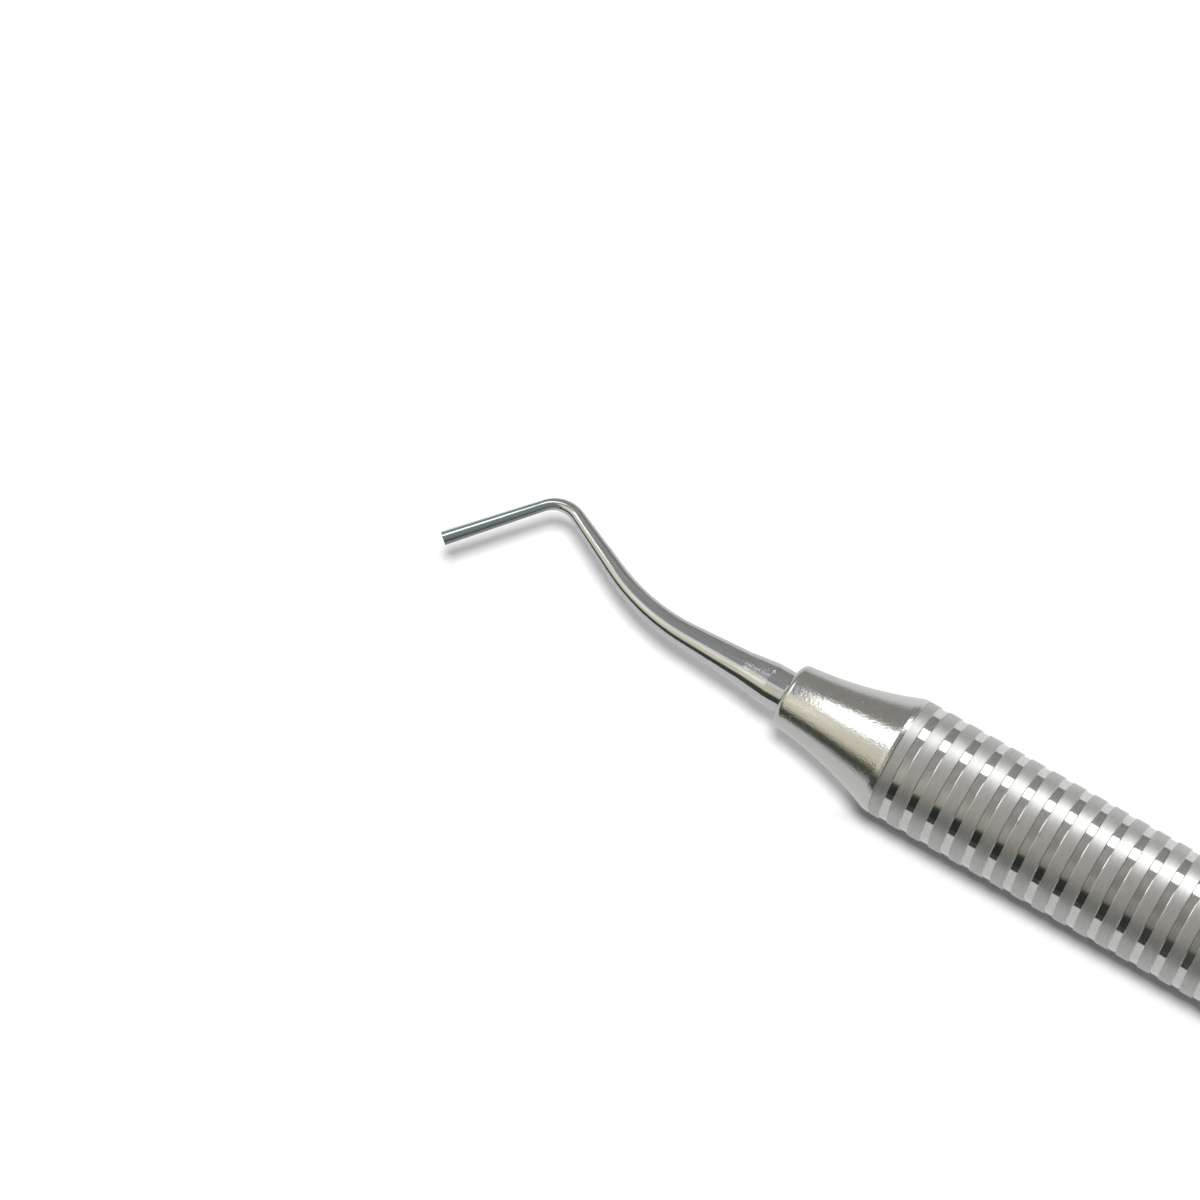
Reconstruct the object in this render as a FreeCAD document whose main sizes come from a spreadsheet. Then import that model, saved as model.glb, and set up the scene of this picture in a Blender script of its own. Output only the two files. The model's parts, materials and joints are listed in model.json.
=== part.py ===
import FreeCAD, Part
import Sketcher
import math
import os

# An amalgam plugger: a slim double-ended hand instrument of stainless steel.
# A hollow round handle carries a turned collar in each end, and each collar
# holds a tapered working end that is bent twice and finishes in a flat nib.
#
# The handle's axis lies along X, at the height at which the handle rests on
# its surface. The origin is on that surface, under the middle of the handle.
# The front working end is at -X. Both working ends are bent in the level
# plane through the axis, and the rear half is the front half turned half
# round about Z.

PARTS_FOLDER = "parts"

# Driving dimensions in millimetres and degrees: name, value and meaning

SIZES = [
    ("handle_dia", 9.5, "outer diameter of the handle"),
    ("handle_wall", 1.0, "wall of the hollow handle"),
    ("handle_length", 96.0, "length of the handle tube"),
    ("first_land", 0.9, "plain strip between the tube's end and its first groove"),
    ("groove_count", 16, "grooves in the grip"),
    ("groove_pitch", 1.77, "distance from one groove to the next"),
    ("groove_width", 0.75, "width of a groove at its top"),
    ("groove_depth", 0.085, "depth of a groove"),
    ("groove_shoulder", 0.06, "width of each sloping side of a groove"),
    ("collar_length", 9.96, "length of a collar outside the tube"),
    ("rim_length", 0.6, "straight rim of a collar beside the seam"),
    ("neck_dia", 5.26, "diameter of a collar at its front"),
    ("neck_length", 0.6, "straight neck before the flare starts"),
    ("flare_radius", 31.7, "radius of the hollow curve from neck to rim"),
    ("neck_rounding", 0.5, "rounding of a collar's front edge"),
    ("spigot_length", 6.0, "length of a collar's spigot inside the tube"),
    ("fit_gap", 0.02, "radial clearance of a press fit"),
    ("root_dia", 3.36, "diameter of the working end where it leaves the collar"),
    ("tang_length", 8.0, "length of the working end inside its collar"),
    ("tang_chamfer", 0.3, "lead-in of the tang"),
    ("tang_end_gap", 0.2, "air left behind the tang"),
    ("root_length", 1.4, "straight root outside the collar"),
    ("shoulder_length", 2.4, "cone between the root and the ground taper"),
    ("shoulder_dia", 2.7, "diameter where the ground taper starts"),
    ("root_leg", 12.6, "from the collar's front to the first corner"),
    ("middle_leg", 10.97, "from the first corner to the second"),
    ("nib_leg", 9.87, "from the second corner to the face of the nib"),
    ("first_turn", 25.1, "angle of the middle leg to the handle's axis"),
    ("nib_turn", 49.4, "angle of the nib to the handle's axis, the other way"),
    ("first_radius", 17.4, "centre line radius of the first bend"),
    ("nib_radius", 2.3, "centre line radius of the second bend"),
]

# Diameters of the ground taper, from the shoulder outwards. The front nib
# condenses in small cavities, the rear one in larger cavities.

TAPER = {
    "front": [
        ("front_first_bend_dia", 2.05, "front end, start of the first bend"),
        ("front_mid_bend_dia", 1.73, "front end, middle of the first bend"),
        ("front_middle_leg_dia", 1.48, "front end, start of the middle leg"),
        ("front_second_bend_dia", 1.1, "front end, start of the second bend"),
        ("front_waist_dia", 0.87, "front end, waist behind the nib"),
        ("front_nib_dia", 1.08, "front end, face of the nib"),
    ],
    "rear": [
        ("rear_first_bend_dia", 2.1, "rear end, start of the first bend"),
        ("rear_mid_bend_dia", 1.82, "rear end, middle of the first bend"),
        ("rear_middle_leg_dia", 1.6, "rear end, start of the middle leg"),
        ("rear_second_bend_dia", 1.25, "rear end, start of the second bend"),
        ("rear_waist_dia", 1.1, "rear end, waist behind the nib"),
        ("rear_nib_dia", 1.45, "rear end, face of the nib"),
    ],
}

# How many short straight faces stand for each curve that has no exact one

NECK_STEPS = 2
FIRST_BEND_STEPS = 4
NIB_BEND_STEPS = 4

doc = FreeCAD.newDocument("amalgam_plugger")


def make_sheet():
    """Write every driving dimension into the sheet that the sketches read."""
    sheet = doc.addObject("Spreadsheet::Sheet", "sizes")
    rows = SIZES + TAPER["front"] + TAPER["rear"]
    for number, (alias, value, meaning) in enumerate(rows, start=1):
        sheet.set(f"A{number}", meaning)
        sheet.set(f"B{number}", str(value))
        sheet.setAlias(f"B{number}", alias)
    doc.recompute()
    return sheet


def make_body(name, end="middle"):
    """Start a sub-part; the rear ones are the front ones turned about Z."""
    body = doc.addObject("PartDesign::Body", name)
    body.Label = name
    turn = 180 if end == "rear" else 0
    body.Placement.Rotation = FreeCAD.Rotation(FreeCAD.Vector(0, 0, 1), turn)
    body.setExpression("Placement.Base.z", "sizes.handle_dia / 2")
    return body


def origin_feature(body, role):
    """Find one of the body's own planes or axes."""
    return next(item for item in body.Origin.OriginFeatures if item.Role == role)


def sketch_on_plane(body, name, role="XY_Plane"):
    """Add an empty sketch on one of the body's own planes."""
    sketch = body.newObject("Sketcher::SketchObject", name)
    sketch.AttachmentSupport = [(origin_feature(body, role), "")]
    sketch.MapMode = "FlatFace"
    return sketch


def value_of(expression, sketch):
    """Work out an expression of the sheet as a plain number."""
    result = sketch.evalExpression(expression)
    return float(getattr(result, "Value", result))


def drive(sketch, kind, expression, *where):
    """Add a dimension to the sketch and bind it to the sheet."""
    value = value_of(expression, sketch)
    if kind == "Angle":
        value = math.radians(value)
    index = sketch.addConstraint(Sketcher.Constraint(kind, *where, value))
    sketch.setExpression(f"Constraints[{index}]", expression)


def draw_outline(sketch, corners, arc_after=None, arc_radius=None):
    """Draw a closed outline whose corners are bound to the sheet.

    Each corner is a pair of expressions, along the axis and away from it.
    The side that follows the corner numbered arc_after is a hollow arc.
    """
    places = []
    for along, away in corners:
        places.append(FreeCAD.Vector(value_of(along, sketch), value_of(away, sketch), 0))
    count = len(places)
    for number, start in enumerate(places):
        finish = places[(number + 1) % count]
        if number == arc_after:
            radius = value_of(arc_radius, sketch)
            sketch.addGeometry(hollow_arc(start, finish, radius), False)
        else:
            sketch.addGeometry(Part.LineSegment(start, finish), False)
    ends = {number: (1, 2) for number in range(count)}
    if arc_after is not None:
        arc_start = sketch.getPoint(arc_after, 1)
        if arc_start.distanceToPoint(places[arc_after]) > 1e-6:
            ends[arc_after] = (2, 1)
    for number in range(count):
        following = (number + 1) % count
        joint = (number, ends[number][1], following, ends[following][0])
        sketch.addConstraint(Sketcher.Constraint("Coincident", *joint))
    for number, (along, away) in enumerate(corners):
        for kind, expression in (("DistanceX", along), ("DistanceY", away)):
            drive(sketch, kind, expression, -1, 1, number, ends[number][0])
    if arc_after is not None:
        drive(sketch, "Radius", arc_radius, arc_after)


def hollow_arc(start, finish, radius):
    """An arc between two points that sags towards the axis."""
    chord = finish - start
    middle = start + chord / 2
    rise = radius - math.sqrt(radius**2 - (chord.Length / 2) ** 2)
    aside = FreeCAD.Vector(-chord.y, chord.x, 0).normalize()
    if aside.y > 0:
        aside = aside * -1
    return Part.Arc(start, middle + aside * rise, finish)


def turn_profile(body, name, sketch, kind="PartDesign::Revolution"):
    """Turn a sketch about the handle's axis, adding or cutting metal."""
    feature = body.newObject(kind, name)
    feature.Profile = sketch
    feature.ReferenceAxis = (sketch, ["H_Axis"])
    feature.Angle = 360
    sketch.Visibility = False
    doc.recompute()
    return feature


def edges_at(feature, radius, along, tolerance=1e-4):
    """Names of the round edges about the axis at one radius and place."""
    names = []
    for number, edge in enumerate(feature.Shape.Edges, start=1):
        if not isinstance(edge.Curve, Part.Circle):
            continue
        centre = edge.Curve.Center
        on_axis = math.hypot(centre.y, centre.z) < tolerance
        right_size = abs(edge.Curve.Radius - radius) < tolerance
        if on_axis and right_size and abs(centre.x - along) < tolerance:
            names.append(f"Edge{number}")
    return names


def break_edges(body, name, size, places):
    """Chamfer the round edges at the given places."""
    base = body.Tip
    names = []
    for radius, along in places:
        names += edges_at(base, value_of(radius, base), value_of(along, base))
    chamfer = body.newObject("PartDesign::Chamfer", name)
    chamfer.Base = (base, names)
    chamfer.setExpression("Size", size)
    doc.recompute()


def make_handle_tube():
    """The hollow handle: one drawn tube with a grip of turned grooves."""
    body = make_body("handle_tube")
    outer = "sizes.handle_dia / 2"
    inner = "sizes.handle_dia / 2 - sizes.handle_wall"
    half = "sizes.handle_length / 2"
    wall = sketch_on_plane(body, "tube_wall")
    draw_outline(wall, [(f"-{half}", inner), (half, inner), (half, outer), (f"-{half}", outer)])
    turn_profile(body, "tube", wall)
    cut_grip(body)
    return body


def cut_grip(body):
    """Cut the groove nearest the front of the tube and repeat it inwards."""
    outer = "sizes.handle_dia / 2"
    over = "sizes.handle_dia / 2 + sizes.groove_depth"
    floor = "sizes.handle_dia / 2 - sizes.groove_depth"
    top_start = "sizes.handle_length / 2 - sizes.first_land"
    steps = [
        (top_start, over),
        (top_start, outer),
        (f"{top_start} - sizes.groove_shoulder", floor),
        (f"{top_start} - sizes.groove_width + sizes.groove_shoulder", floor),
        (f"{top_start} - sizes.groove_width", outer),
        (f"{top_start} - sizes.groove_width", over),
    ]
    corners = [(f"-({along})", away) for along, away in steps]
    outline = sketch_on_plane(body, "groove_outline")
    draw_outline(outline, corners)
    groove = turn_profile(body, "first_groove", outline, "PartDesign::Groove")
    pattern = body.newObject("PartDesign::LinearPattern", "grip")
    pattern.Originals = [groove]
    pattern.Direction = (origin_feature(body, "X_Axis"), [""])
    pattern.setExpression("Occurrences", "sizes.groove_count")
    pattern.setExpression("Length", "(sizes.groove_count - 1) * sizes.groove_pitch")
    body.Tip = pattern
    doc.recompute()


def make_collar(end):
    """A turned collar: hollow flare outside, spigot in the tube, blind bore."""
    body = make_body(f"{end}_collar", end)
    body.setExpression("Placement.Base.x", f"{side_of(end)} * sizes.handle_length / 2")
    outer = "sizes.handle_dia / 2"
    neck = "sizes.neck_dia / 2"
    spigot = "sizes.handle_dia / 2 - sizes.handle_wall - sizes.fit_gap"
    bore = "sizes.root_dia / 2 + sizes.fit_gap"
    bore_end = "sizes.tang_length + sizes.tang_end_gap - sizes.collar_length"
    front = "-sizes.collar_length"
    neck_end = "sizes.neck_length - sizes.collar_length"
    corners = [(front, bore)] + rounded_neck(front, neck) + [
        (neck_end, neck),
        ("-sizes.rim_length", outer),
        ("0", outer),
        ("0", spigot),
        ("sizes.spigot_length", spigot),
        ("sizes.spigot_length", "0"),
        (bore_end, "0"),
        (bore_end, bore),
    ]
    outline = sketch_on_plane(body, f"{end}_collar_outline")
    flare = corners.index((neck_end, neck))
    draw_outline(outline, corners, arc_after=flare, arc_radius="sizes.flare_radius")
    turn_profile(body, f"{end}_collar_turned", outline)
    return body


def rounded_neck(front, neck):
    """Corners that carry the outline round the collar's front edge."""
    corners = []
    for step in range(NECK_STEPS + 1):
        angle = math.radians(90 * step / NECK_STEPS)
        along = f"{front} + sizes.neck_rounding * {1 - math.cos(angle):.4f}"
        away = f"{neck} - sizes.neck_rounding * {1 - math.sin(angle):.4f}"
        corners.append((along, away))
    return corners


def side_of(end):
    """-1 for the front half, which lies towards -X, and 1 for the rear."""
    return -1 if end == "front" else 1


def make_working_end(end):
    """A working end: tang, root and shoulder turned, then the bent taper."""
    body = make_body(f"{end}_working_end", end)
    reach = "(sizes.handle_length / 2 + sizes.collar_length)"
    body.setExpression("Placement.Base.x", f"{side_of(end)} * {reach}")
    root = "sizes.root_dia / 2"
    shoulder = "sizes.shoulder_dia / 2"
    taper_start = "-(sizes.root_length + sizes.shoulder_length)"
    corners = [
        ("sizes.tang_length", "0"),
        ("sizes.tang_length", root),
        ("-sizes.root_length", root),
        (taper_start, shoulder),
        (taper_start, "0"),
    ]
    outline = sketch_on_plane(body, f"{end}_root_outline")
    draw_outline(outline, corners)
    turn_profile(body, f"{end}_root", outline)
    tang_end = [(root, "sizes.tang_length")]
    break_edges(body, f"{end}_tang", "sizes.tang_chamfer", tang_end)
    route = draw_route(body, f"{end}_route")
    sections = []
    for number, (station, diameter) in enumerate(taper_stations(end)):
        name = f"{end}_section_{number}"
        sections.append(draw_section(body, route, name, station, diameter))
    taper = body.newObject("PartDesign::AdditiveLoft", f"{end}_taper")
    taper.Profile = sections[0]
    taper.Sections = [(section, "") for section in sections[1:]]
    taper.Ruled = True
    doc.recompute()
    return body


def taper_stations(end):
    """Where each section stands on the route, and its diameter there.

    A place is the number of one of the route's edges and the share of it.
    """
    names = [f"sizes.{alias}" for alias, _, _ in TAPER[end]]
    first_bend, mid_bend, middle_leg, second_bend, waist, nib = names
    stations = [((1, 0.0), "sizes.shoulder_dia")]
    for step in range(FIRST_BEND_STEPS):
        share = step / (FIRST_BEND_STEPS - 0.5)
        parts = [
            f"{first_bend} * {(1 - share) * (1 - 2 * share):.4f}",
            f"{mid_bend} * {4 * share * (1 - share):.4f}",
            f"{middle_leg} * {share * (2 * share - 1):.4f}",
        ]
        stations.append(((2, share), " + ".join(parts)))
    for step in range(NIB_BEND_STEPS):
        share = (step + 0.5) / NIB_BEND_STEPS
        parts = [f"{second_bend} * {1 - share:.4f}", f"{waist} * {share:.4f}"]
        stations.append(((4, share), " + ".join(parts)))
    stations.append(((5, 1.0), nib))
    return stations


def draw_route(body, name):
    """The centre line of the taper: three straight legs and two bends."""
    route = sketch_on_plane(body, name)
    start = "-(sizes.root_length + sizes.shoulder_length)"
    first_turn = math.radians(value_of("sizes.first_turn", route))
    nib_turn = math.radians(value_of("sizes.nib_turn", route))
    outwards = FreeCAD.Vector(-1, 0, 0)
    middle_way = FreeCAD.Vector(-math.cos(first_turn), math.sin(first_turn), 0)
    nib_way = FreeCAD.Vector(-math.cos(nib_turn), -math.sin(nib_turn), 0)
    first_corner = outwards * value_of("sizes.root_leg", route)
    nib_corner = first_corner + middle_way * value_of("sizes.middle_leg", route)
    tip = nib_corner + nib_way * value_of("sizes.nib_leg", route)
    radius = value_of("sizes.first_radius", route)
    first_bend = bend(first_corner, outwards, middle_way, radius)
    radius = value_of("sizes.nib_radius", route)
    nib_bend = bend(nib_corner, middle_way, nib_way, radius)
    begin = FreeCAD.Vector(value_of(start, route), 0, 0)
    route.addGeometry(Part.LineSegment(begin, first_bend[0]), False)
    route.addGeometry(Part.Arc(*first_bend), False)
    route.addGeometry(Part.LineSegment(first_bend[2], nib_bend[0]), False)
    route.addGeometry(Part.Arc(*nib_bend), False)
    route.addGeometry(Part.LineSegment(nib_bend[2], tip), False)
    first_point = route.addGeometry(Part.Point(first_corner), True)
    nib_point = route.addGeometry(Part.Point(nib_corner), True)
    bind_route(route, start, first_bend, nib_bend, first_point, nib_point)
    doc.recompute()
    return route


def bend(corner, before, after, radius):
    """Start, middle and end of the arc that rounds one corner."""
    turn = before.getAngle(after)
    setback = radius * math.tan(turn / 2)
    sag = radius / math.cos(turn / 2) - radius
    inwards = (after - before).normalize()
    return corner - before * setback, corner + inwards * sag, corner + after * setback


def bind_route(route, start, first_bend, nib_bend, first_point, nib_point):
    """Hold the route by its legs, turns and radii."""
    root, first_arc, middle, nib_arc, nib = range(5)
    add = route.addConstraint
    ends = {}
    for arc, places in ((first_arc, first_bend), (nib_arc, nib_bend)):
        runs_forward = route.getPoint(arc, 1).distanceToPoint(places[0]) < 1e-6
        ends[arc] = (1, 2) if runs_forward else (2, 1)
    for line, arc, after in ((root, first_arc, middle), (middle, nib_arc, nib)):
        add(Sketcher.Constraint("Tangent", line, 2, arc, ends[arc][0]))
        add(Sketcher.Constraint("Tangent", arc, ends[arc][1], after, 1))
    for point, before, after in ((first_point, root, middle), (nib_point, middle, nib)):
        add(Sketcher.Constraint("PointOnObject", point, 1, before))
        add(Sketcher.Constraint("PointOnObject", point, 1, after))
    add(Sketcher.Constraint("PointOnObject", root, 1, -1))
    add(Sketcher.Constraint("Horizontal", root))
    drive(route, "DistanceX", start, -1, 1, root, 1)
    drive(route, "DistanceX", "-sizes.root_leg", -1, 1, first_point, 1)
    drive(route, "Distance", "sizes.middle_leg", first_point, 1, nib_point, 1)
    drive(route, "Distance", "sizes.nib_leg", nib_point, 1, nib, 2)
    drive(route, "Radius", "sizes.first_radius", first_arc)
    drive(route, "Radius", "sizes.nib_radius", nib_arc)
    drive(route, "Angle", "180 - sizes.first_turn", middle)
    drive(route, "Angle", "sizes.nib_turn - 180", nib)


def draw_section(body, route, name, station, diameter):
    """A round section across the route, at a share of one of its edges."""
    edge, share = station
    section = body.newObject("Sketcher::SketchObject", name)
    section.AttachmentSupport = [(route, f"Edge{edge}")]
    section.MapMode = "NormalToEdge"
    section.MapPathParameter = share
    centre = FreeCAD.Vector(0, 0, 0)
    along = FreeCAD.Vector(0, 0, 1)
    circle = Part.Circle(centre, along, value_of(diameter, section) / 2)
    section.addGeometry(circle, False)
    section.addConstraint(Sketcher.Constraint("Coincident", 0, 3, -1, 1))
    drive(section, "Diameter", diameter, 0)
    section.Visibility = False
    return section


def check_and_save(bodies):
    """Stop if anything failed, then write one file for each sub-part."""
    doc.recompute()
    for item in doc.Objects:
        if "Invalid" in item.State or "Error" in item.State:
            raise RuntimeError(f"{item.Name} is {item.State}")
    os.makedirs(PARTS_FOLDER, exist_ok=True)
    for body in bodies:
        shape = body.Shape
        if shape.isNull() or not shape.isValid() or len(shape.Solids) != 1:
            raise RuntimeError(f"{body.Label} is not one good solid")
    for body in bodies:
        shape = body.Shape
        shape.exportStep(os.path.join(PARTS_FOLDER, f"{body.Label}.step"))
        box = shape.optimalBoundingBox()
        print(f"{body.Label}: {shape.Volume:.2f} mm3, x {box.XMin:.2f} to {box.XMax:.2f},",
              f"y {box.YMin:.2f} to {box.YMax:.2f}, z {box.ZMin:.2f} to {box.ZMax:.2f}")


make_sheet()
check_and_save([
    make_handle_tube(),
    make_collar("front"),
    make_collar("rear"),
    make_working_end("front"),
    make_working_end("rear"),
])
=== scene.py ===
# %% [markdown]
# # A plugger of polished steel, turned, ground and bent
#
# This notebook dresses a small hand instrument. Its frame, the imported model,
# already says where each of its five pieces lies, in metres: the handle's axis
# runs along X, and the handle lies on the floor at z = 0. We load that frame,
# keep its box for a comparison at the end, and then remake each piece as a
# finer mesh in the same place, because polished steel shows every facet.

# %% Load the frame
import json
import math

import bpy
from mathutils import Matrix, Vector


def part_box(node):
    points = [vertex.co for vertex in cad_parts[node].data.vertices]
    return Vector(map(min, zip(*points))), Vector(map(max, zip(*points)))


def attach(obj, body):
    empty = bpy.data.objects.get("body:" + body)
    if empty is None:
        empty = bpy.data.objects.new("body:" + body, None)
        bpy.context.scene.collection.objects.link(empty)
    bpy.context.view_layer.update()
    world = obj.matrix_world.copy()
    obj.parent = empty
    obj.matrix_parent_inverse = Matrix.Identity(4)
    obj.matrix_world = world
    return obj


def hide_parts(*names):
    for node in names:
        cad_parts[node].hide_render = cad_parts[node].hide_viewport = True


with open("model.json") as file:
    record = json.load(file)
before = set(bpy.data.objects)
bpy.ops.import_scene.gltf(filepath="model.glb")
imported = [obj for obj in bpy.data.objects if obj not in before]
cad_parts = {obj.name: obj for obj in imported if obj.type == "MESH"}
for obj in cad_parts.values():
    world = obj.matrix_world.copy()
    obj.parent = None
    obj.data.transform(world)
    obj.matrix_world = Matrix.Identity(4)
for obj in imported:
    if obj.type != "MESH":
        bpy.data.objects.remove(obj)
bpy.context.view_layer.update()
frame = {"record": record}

MM = 0.001

# %% [markdown]
# ## The camera
#
# The picture was taken from almost straight above with a long lens. A place, a
# turn and a focal length are all that a camera needs, and they were found by
# fitting the handle's known circles and lines, so the rest can be compared
# with the photograph straight away. The Standard view shows each colour as it
# is written, where the usual one would grey the whites.

# %% Set up the camera
CAMERA_PLACE = Vector((-6.9, -66.26, 294.28)) * MM
CAMERA_TURN = (17.370, 4.440, 31.815)
FOCAL_LENGTH = 120
SENSOR_WIDTH = 36

bpy.ops.object.select_all(action="DESELECT")
bpy.ops.object.camera_add(location=CAMERA_PLACE)
camera = bpy.context.object
camera.rotation_euler = [math.radians(angle) for angle in CAMERA_TURN]
camera.data.lens = FOCAL_LENGTH
camera.data.sensor_width = SENSOR_WIDTH
bpy.context.scene.camera = camera
bpy.context.scene.view_settings.view_transform = "Standard"
print("camera height, mm:", round(camera.location.z / MM, 1))

# %% [markdown]
# ## Nodes without the wiring
#
# Every finish below is a small tree of shader nodes. Two helpers keep them
# short: one adds a node and fills its inputs, either with a plain value or
# with the socket that feeds it, and the other does the same for arithmetic,
# whose inputs have no names of their own.

# %% Helpers for node trees
def fill(tree, socket, value):
    """Set a socket to a plain value, or feed it from another node's socket."""
    if isinstance(value, bpy.types.NodeSocket):
        tree.links.new(value, socket)
    else:
        socket.default_value = value


def add_node(tree, kind, settings=None, inputs=None):
    """Add a node with its settings and inputs, and return it."""
    node = tree.nodes.new(kind)
    for name, value in (settings or {}).items():
        setattr(node, name, value)
    for name, value in (inputs or {}).items():
        fill(tree, node.inputs[name], value)
    return node


def maths(tree, operation, *values):
    """Add one step of arithmetic and return its result."""
    node = tree.nodes.new("ShaderNodeMath")
    node.operation = operation
    for socket, value in zip(node.inputs, values):
        fill(tree, socket, value)
    return node.outputs[0]


def blend_colours(tree, share, first, second):
    """Mix two colours; a share of 0 gives the first, and 1 the second."""
    settings = {"data_type": "RGBA"}
    node = add_node(tree, "ShaderNodeMix", settings)
    sockets = [socket for socket in node.inputs if socket.enabled]
    for socket, value in zip(sockets, (share, first, second)):
        fill(tree, socket, value)
    return next(socket for socket in node.outputs if socket.enabled)


def ramp_between(tree, value, low, high):
    """A soft step that is 0 at the first value and beyond, and 1 at the second."""
    inputs = {"Value": value, "From Min": low, "From Max": high}
    return add_node(tree, "ShaderNodeMapRange", None, inputs).outputs["Result"]


def distance_to(tree, place, spot):
    """How far a place is from a fixed spot."""
    inputs = {0: place, 1: spot}
    return add_node(tree, "ShaderNodeVectorMath", {"operation": "DISTANCE"}, inputs).outputs["Value"]


def noise(tree, place, scale, detail):
    """Cloudy noise between 0 and 1."""
    inputs = {"Vector": place, "Scale": scale, "Detail": detail}
    return add_node(tree, "ShaderNodeTexNoise", None, inputs).outputs["Fac"]


# %% [markdown]
# ## The room that the steel mirrors
#
# Polished steel has hardly any colour of its own: what we see in it is the
# room. So the world is painted as that room, by direction. A direction is
# turned into the angle at which it leans from straight up, towards the back
# wall or the front, and a colour ramp reads that angle. There is one ramp for
# each side: cream blinds on the left, a grey wall in the middle, a dim right
# side, and they blend into each other sideways, with a brighter spot for the
# window. Through Light Path, the camera itself sees plain white instead, and
# the floor gets an even grey light, which is weak enough for the lamp's shadow
# to stay clear.

# %% Paint the room
ROOM = [
    ("right", None, [
        (-90, (0.27, 0.28, 0.27)), (-20, (0.30, 0.30, 0.29)), (10, (0.34, 0.34, 0.32)),
        (34, (0.30, 0.30, 0.28)), (90, (0.33, 0.33, 0.31)),
    ]),
    ("middle", (0.00, 0.06), [
        (-90, (0.12, 0.13, 0.12)), (-86, (0.03, 0.036, 0.03)), (-62, (0.03, 0.036, 0.03)),
        (-55, (0.26, 0.25, 0.23)), (-33, (0.37, 0.36, 0.33)), (-19, (0.28, 0.27, 0.25)),
        (-5, (0.35, 0.34, 0.32)), (9, (0.50, 0.48, 0.45)), (60, (0.45, 0.45, 0.43)),
        (80, (0.385, 0.385, 0.37)),
    ]),
    ("near left", (0.07, 0.13), [
        (-90, (0.16, 0.17, 0.16)), (-86, (0.03, 0.036, 0.03)), (-62, (0.03, 0.036, 0.03)),
        (-55, (0.42, 0.40, 0.35)), (-47, (0.50, 0.48, 0.43)), (-33, (0.59, 0.57, 0.50)),
        (-19, (0.48, 0.46, 0.42)), (-5, (0.43, 0.42, 0.40)), (9, (0.50, 0.48, 0.45)),
        (60, (0.45, 0.45, 0.43)), (80, (0.385, 0.385, 0.37)),
    ]),
    ("left", (0.14, 0.165), [
        (-90, (0.07, 0.084, 0.07)), (-66, (0.07, 0.084, 0.07)), (-58, (0.92, 0.86, 0.70)),
        (-28, (1.0, 0.965, 0.84)), (-9, (1.05, 1.03, 0.94)), (-4, (0.40, 0.41, 0.43)),
        (32, (0.40, 0.41, 0.43)), (36, (0.38, 0.375, 0.35)), (90, (0.38, 0.375, 0.35)),
    ]),
]
WINDOW_WAY = Vector((-0.43, -0.42, 0.80)).normalized()
WINDOW_COLOUR = (1.65, 1.58, 1.38, 1)
WINDOW_EDGE = (0.22, 0.06)
WINDOW_SHARE = 0.7
FLOOR_LIGHT = (0.27, 0.27, 0.275, 1)


def room_side(tree, lean, colours):
    """One side of the room: its colours by how far a direction leans."""
    node = tree.nodes.new("ShaderNodeValToRGB")
    ramp = node.color_ramp
    while len(ramp.elements) < len(colours):
        ramp.elements.new(0.5)
    for element, (angle, colour) in zip(ramp.elements, colours):
        element.position = (angle + 180) / 360
        element.color = (*colour, 1)
    fill(tree, node.inputs["Fac"], lean)
    return node.outputs["Color"]


world = bpy.data.worlds.new("studio_room")
bpy.context.scene.world = world
world.use_nodes = True
room = world.node_tree
direction = add_node(room, "ShaderNodeTexCoord").outputs["Generated"]
parts = add_node(room, "ShaderNodeSeparateXYZ", None, {"Vector": direction}).outputs
leftwards = maths(room, "MULTIPLY", parts["X"], -1)
lean = maths(room, "ARCTAN2", parts["Y"], parts["Z"])
lean = maths(room, "MULTIPLY_ADD", lean, 1 / math.tau, 0.5)
for side, reach, colours in ROOM:
    wall = room_side(room, lean, colours)
    if reach is None:
        walls = wall
    else:
        walls = blend_colours(room, ramp_between(room, leftwards, *reach), walls, wall)
window = ramp_between(room, distance_to(room, direction, WINDOW_WAY), *WINDOW_EDGE)
walls = blend_colours(room, maths(room, "MULTIPLY", window, WINDOW_SHARE), walls, WINDOW_COLOUR)
rays = add_node(room, "ShaderNodeLightPath").outputs
by_floor = maths(room, "GREATER_THAN", rays["Diffuse Depth"], 0.5)
seen = blend_colours(room, by_floor, walls, FLOOR_LIGHT)
seen = blend_colours(room, rays["Is Camera Ray"], seen, (1, 1, 1, 1))
fill(room, room.nodes["Background"].inputs["Color"], seen)
print("room sides, from right to left:", [side for side, reach, colours in ROOM])

# %% [markdown]
# ## Soft light from above
#
# The shadow in the picture lies close under the object and is only a little
# soft, so the light is a small one, nearly overhead. A sun with a wide disc
# does that and lights the whole floor evenly. It is hidden from mirror rays,
# which see three glowing cards instead: a long softbox close behind the handle,
# a large one up on the left, and a small one near the nib. These light the
# steel alone. Two dark cards lie on the floor, at the back and in front, where
# the table ends in the picture.

# %% Hang the lamp and the softboxes
KEY_STRENGTH = 2.9
KEY_DISC = 14
KEY_TILT = 5.4

bpy.ops.object.select_all(action="DESELECT")
bpy.ops.object.light_add(type="SUN", location=(0, 0, 1))
key = bpy.context.object
key.name = "key_lamp"
key.rotation_euler = (0, math.radians(KEY_TILT), 0)
key.data.energy = KEY_STRENGTH
key.data.angle = math.radians(KEY_DISC)
key.visible_glossy = False


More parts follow.
